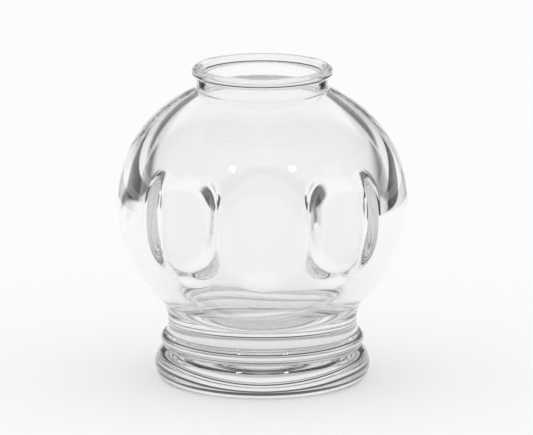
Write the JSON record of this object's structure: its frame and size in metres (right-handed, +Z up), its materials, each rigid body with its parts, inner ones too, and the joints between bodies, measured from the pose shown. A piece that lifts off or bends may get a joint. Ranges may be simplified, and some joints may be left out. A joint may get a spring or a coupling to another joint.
{
  "type": "cupping glass",
  "caption": "Thick clear glass cup for cupping: a globe with a rolled lip and finger dents on its front, standing on a waisted foot of stacked rings.",
  "frame": {"origin": "on the glass's axis, at the surface that the foot stands on", "axes": "+Z up along the axis to the mouth, -Y towards the front with the finger dents, +X to the viewer's right"},
  "size_m": [0.0726, 0.0713, 0.0795],
  "materials": {
    "clear_glass": "clear, fire-polished"
  },
  "bodies": {
    "root": {"lip_bead": "clear_glass", "neck_collar": "clear_glass", "globe_bowl": "clear_glass", "waist_collar": "clear_glass", "base_ring": "clear_glass", "foot_ring": "clear_glass"}
  },
  "joints": []
}
